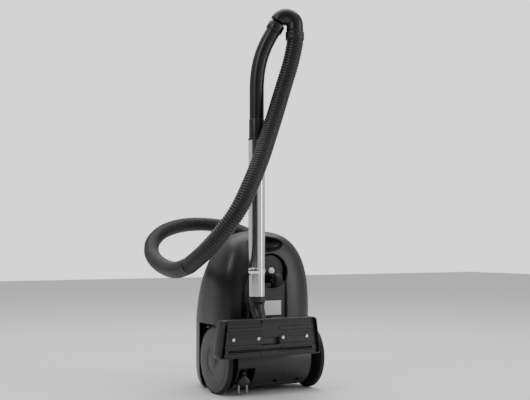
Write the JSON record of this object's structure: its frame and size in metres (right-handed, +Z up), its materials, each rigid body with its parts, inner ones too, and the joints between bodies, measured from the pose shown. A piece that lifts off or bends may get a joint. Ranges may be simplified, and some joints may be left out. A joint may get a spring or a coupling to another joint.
{
  "type": "canister vacuum cleaner",
  "caption": "Bagged canister vacuum cleaner standing on end, with its telescopic wand, swivelling floor head and ribbed hose parked on the underside.",
  "frame": {"origin": "middle of the rear foot's underside, on the floor", "axes": "+Z up along the wand and the standing canister, +X to the right, -Y towards the canister's underside and the parked wand"},
  "size_m": [0.3459, 0.5671, 0.8155],
  "materials": {
    "black": "moulded, fine semi-gloss",
    "grey": "moulded, satin",
    "dark": "moulded, satin black",
    "rubber": "soft, matte",
    "chrome": "polished plating",
    "steel": "plain",
    "paper": "filter paper",
    "white": "plain white"
  },
  "bodies": {
    "canister": {"lower_casing": "black", "front_cover": "black", "rear_drum": "black", "rear_cover": "black", "rear_foot": "rubber", "motor": "steel", "motor_seal": "rubber", "motor_filter": "white", "exhaust_grille": "dark", "bag_holder": "grey", "dust_bag": "paper", "inlet_pipe": "dark", "inlet_elbow": "dark", "reel_axle": "steel", "mains_plug": "dark", "cord_stub": "dark", "left_axle": "steel", "right_axle": "steel", "castor_pivot": "white", "rating_label": "white", "lid_hinge_pin": "steel", "park_socket": "dark", "hose_lower": "dark"},
    "lid": {"lid": "black", "lid_seal": "rubber"},
    "latch": {"lid_latch": "grey"},
    "power_button": {"power_button": "grey"},
    "rewind_button": {"rewind_button": "grey"},
    "suction_knob": {"suction_knob": "grey"},
    "left_wheel": {"left_wheel": "grey", "left_tyre": "rubber"},
    "right_wheel": {"right_wheel": "grey", "right_tyre": "rubber"},
    "castor": {"castor_disc": "dark", "castor_axle": "steel"},
    "castor_wheel": {"castor_roller": "rubber"},
    "fan": {"motor_fan": "steel"},
    "reel": {"cord_reel": "grey", "cord_winding": "dark"},
    "lower_cuff": {"lower_cuff": "dark"},
    "wand": {"outer_tube": "chrome", "tube_bush": "grey", "head_neck": "dark"},
    "head": {"head_shell": "dark", "sole_plate": "dark", "sole_screw_1": "steel", "sole_screw_2": "steel", "sole_screw_3": "steel", "sole_screw_4": "steel", "head_axle": "steel"},
    "pedal": {"head_pedal": "grey"},
    "brush": {"brush_strips": "grey"},
    "handle": {"handle_tube": "dark", "inner_tube": "chrome", "elbow_cuff": "dark", "hose_upper": "dark"},
    "air_slider": {"air_slider": "grey"},
    "lock": {"lock_button": "grey"},
    "upper_cuff": {"upper_cuff": "dark"}
  },
  "joints": [
    {"name": "lid_hinge", "type": "hinge", "parent": "canister", "child": "lid", "pos_m": [0, 0.066, 0.1545], "axis": [-1, 0, 0], "range_deg": [0, 85]},
    {"name": "latch_slide", "type": "slide", "parent": "lid", "child": "latch", "axis": [0, -0.7771, -0.6293], "range_m": [0, 0.002], "stiffness_N_per_m": 400},
    {"name": "power_press", "type": "slide", "parent": "canister", "child": "power_button", "axis": [0, -1, 0], "range_m": [0, 0.003], "stiffness_N_per_m": 500},
    {"name": "rewind_press", "type": "slide", "parent": "canister", "child": "rewind_button", "axis": [0, -1, 0], "range_m": [0, 0.003], "stiffness_N_per_m": 500},
    {"name": "suction_turn", "type": "hinge", "parent": "canister", "child": "suction_knob", "pos_m": [0, 0.0625, 0.114], "axis": [0, 1, 0], "range_deg": [-135, 135]},
    {"name": "left_wheel_spin", "type": "hinge", "parent": "canister", "child": "left_wheel", "pos_m": [-0.12, -0.1075, 0.0714], "axis": [1, 0, 0], "continuous": true},
    {"name": "right_wheel_spin", "type": "hinge", "parent": "canister", "child": "right_wheel", "pos_m": [0.12, -0.1075, 0.0714], "axis": [1, 0, 0], "continuous": true},
    {"name": "castor_swivel", "type": "hinge", "parent": "canister", "child": "castor", "pos_m": [0.002, -0.1315, 0.26], "axis": [0, 1, 0], "continuous": true},
    {"name": "castor_spin", "type": "hinge", "parent": "castor", "child": "castor_wheel", "pos_m": [0.002, -0.1654, 0.241], "axis": [1, 0, 0], "continuous": true},
    {"name": "fan_spin", "type": "hinge", "parent": "canister", "child": "fan", "pos_m": [0.035, -0.0875, 0.127], "axis": [0, 0, 1], "continuous": true},
    {"name": "reel_spin", "type": "hinge", "parent": "canister", "child": "reel", "pos_m": [-0.058, -0.0755, 0.084], "axis": [1, 0, 0], "continuous": true},
    {"name": "hose_swivel_lower", "type": "hinge", "parent": "canister", "child": "lower_cuff", "pos_m": [0.055, 0.0425, 0.3], "axis": [0.796, 0.5971, 0.0995], "continuous": true},
    {"name": "park_lift", "type": "slide", "parent": "canister", "child": "wand", "axis": [0, 0, 1], "range_m": [0, 0.03]},
    {"name": "head_tilt", "type": "hinge", "parent": "wand", "child": "head", "pos_m": [-0.056, -0.2055, 0.147], "axis": [1, 0, 0], "range_deg": [0, 30]},
    {"name": "pedal_press", "type": "slide", "parent": "head", "child": "pedal", "axis": [0, -1, 0], "range_m": [0, 0.003]},
    {"name": "brush_drop", "type": "slide", "parent": "head", "child": "brush", "axis": [0, -1, 0], "range_m": [0, 0.004]},
    {"name": "telescope", "type": "slide", "parent": "wand", "child": "handle", "axis": [0, 0, 1], "range_m": [0, 0.2]},
    {"name": "air_slide", "type": "slide", "parent": "handle", "child": "air_slider", "axis": [0, 0, 1], "range_m": [0, 0.012]},
    {"name": "lock_slide", "type": "slide", "parent": "handle", "child": "lock", "axis": [0, 0, -1], "range_m": [0, 0.006], "stiffness_N_per_m": 150},
    {"name": "hose_swivel_upper", "type": "hinge", "parent": "handle", "child": "upper_cuff", "pos_m": [0.0147, -0.223, 0.756], "axis": [0, 0, 1], "continuous": true}
  ],
  "couplings": [
    {"joint": "brush_drop", "follows": "pedal_press", "ratio": 1.3333}
  ]
}
